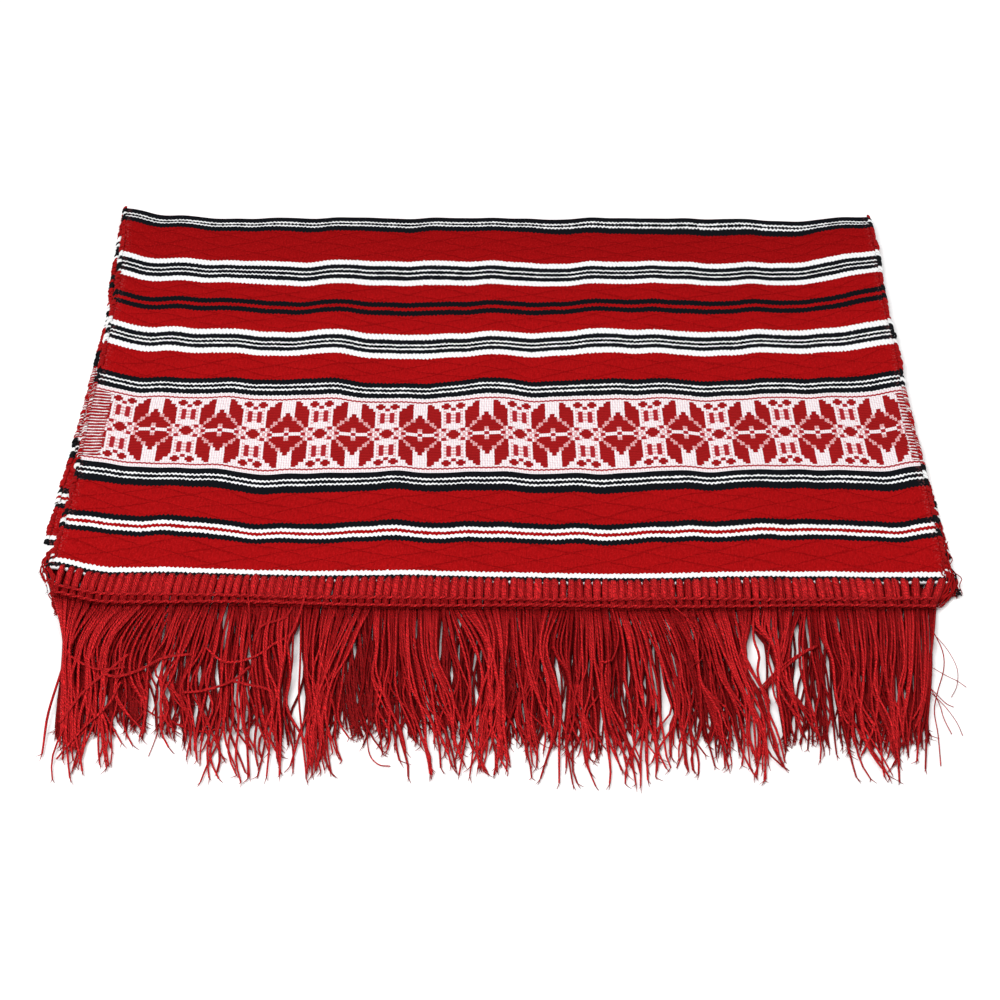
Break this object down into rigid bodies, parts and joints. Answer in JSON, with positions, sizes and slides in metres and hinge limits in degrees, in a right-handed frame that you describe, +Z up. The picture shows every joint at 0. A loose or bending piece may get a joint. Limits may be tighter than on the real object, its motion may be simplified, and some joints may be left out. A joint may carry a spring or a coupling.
{
  "type": "folded rushnyk ritual towel",
  "caption": "Striped woven ceremonial towel with a heart-and-leaf motif band, folded once across its length so that its two sewn yarn fringes lie one over the other.",
  "frame": {"origin": "on the surface it rests on, under the middle of the folded piece", "axes": "+X across the cloth's width, +Y from the fringes to the fold, +Z up out of the surface"},
  "size_m": [0.3558, 0.3521, 0.0062],
  "materials": {
    "woven_cloth": "matt weft-faced weave, red with black and white stripes",
    "fringe_yarn": "soft twisted yarn with a slight sheen"
  },
  "bodies": {
    "root": {"towel_cloth": "woven_cloth", "top_fringe": "fringe_yarn", "lower_fringe": "fringe_yarn"}
  },
  "joints": []
}
